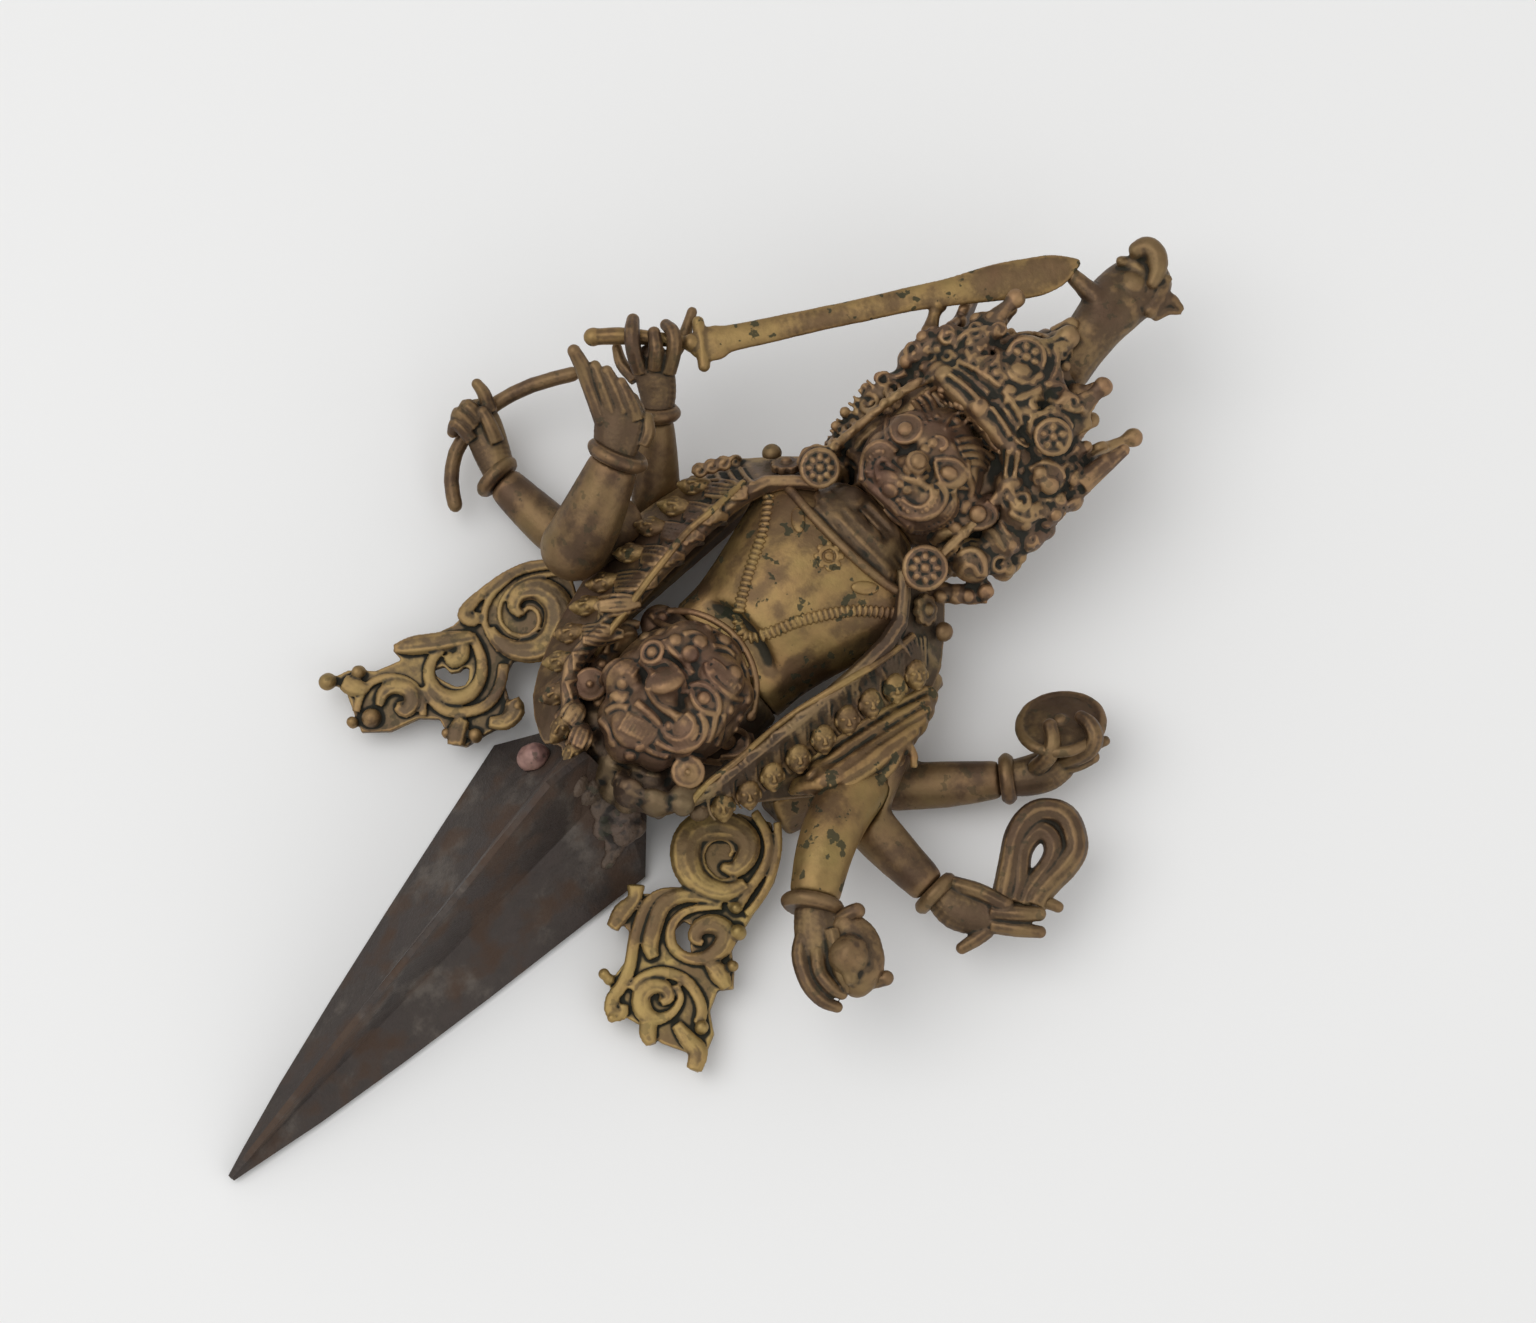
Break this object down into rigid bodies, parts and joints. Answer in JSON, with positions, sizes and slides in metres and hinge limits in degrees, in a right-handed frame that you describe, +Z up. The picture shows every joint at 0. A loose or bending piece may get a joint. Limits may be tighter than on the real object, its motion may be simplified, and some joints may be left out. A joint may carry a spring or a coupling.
{
  "type": "ritual dagger",
  "caption": "Ritual dagger with a tapering finned iron blade under a cast brass wrathful figure with many arms, a belly mask, scroll plates and a horse's head on its crown.",
  "frame": {"origin": "the blade's point where it touches the table, with the dagger lying on its back", "axes": "+Y from the point towards the crown, +Z up out of the table and the figure's chest, +X to the figure's left"},
  "size_m": [0.1609, 0.2671, 0.0463],
  "materials": {
    "forged_iron": "dark brown forged iron with rust",
    "rusted_iron": "rough scaled iron",
    "copper": "dull pinkish copper",
    "worn_brass": "brass worn golden on the high places",
    "aged_brass": "brown aged brass",
    "dark_brass": "dark aged brass"
  },
  "bodies": {
    "root": {"blade": "forged_iron", "fin_rivet": "copper", "root_lump": "rusted_iron", "hips": "dark_brass", "torso": "worn_brass", "neck_collar": "worn_brass", "chest_pendants": "aged_brass", "sacred_thread": "worn_brass", "belly_mask": "dark_brass", "mask_diadem": "aged_brass", "mask_ear_discs": "aged_brass", "garland_right": "dark_brass", "garland_left": "dark_brass", "severed_heads_right": "worn_brass", "severed_heads_left": "worn_brass", "cape_right": "dark_brass", "cape_left": "dark_brass", "shoulder_clasps": "aged_brass", "head": "dark_brass", "front_face": "worn_brass", "right_face": "dark_brass", "left_face": "dark_brass", "ear_pendants": "worn_brass", "crown_band": "worn_brass", "crown_leaves": "aged_brass", "horse_neck": "dark_brass", "horse_head": "dark_brass", "palm_arm": "aged_brass", "sword_arm": "aged_brass", "bow_arm": "aged_brass", "wheel_arm": "aged_brass", "noose_arm": "aged_brass", "fruit_arm": "aged_brass", "palm_bracelet": "worn_brass", "sword_bracelet": "worn_brass", "bow_bracelet": "worn_brass", "wheel_bracelet": "worn_brass", "noose_bracelet": "worn_brass", "fruit_bracelet": "worn_brass", "palm_hand": "aged_brass", "sword_hand": "aged_brass", "bow_hand": "aged_brass", "wheel_hand": "aged_brass", "noose_hand": "aged_brass", "fruit_hand": "aged_brass", "sword": "aged_brass", "sword_struts": "aged_brass", "bow_rod": "dark_brass", "wheel": "dark_brass", "noose": "aged_brass", "fruit": "dark_brass", "scroll_right": "worn_brass", "scroll_left": "worn_brass"}
  },
  "joints": []
}
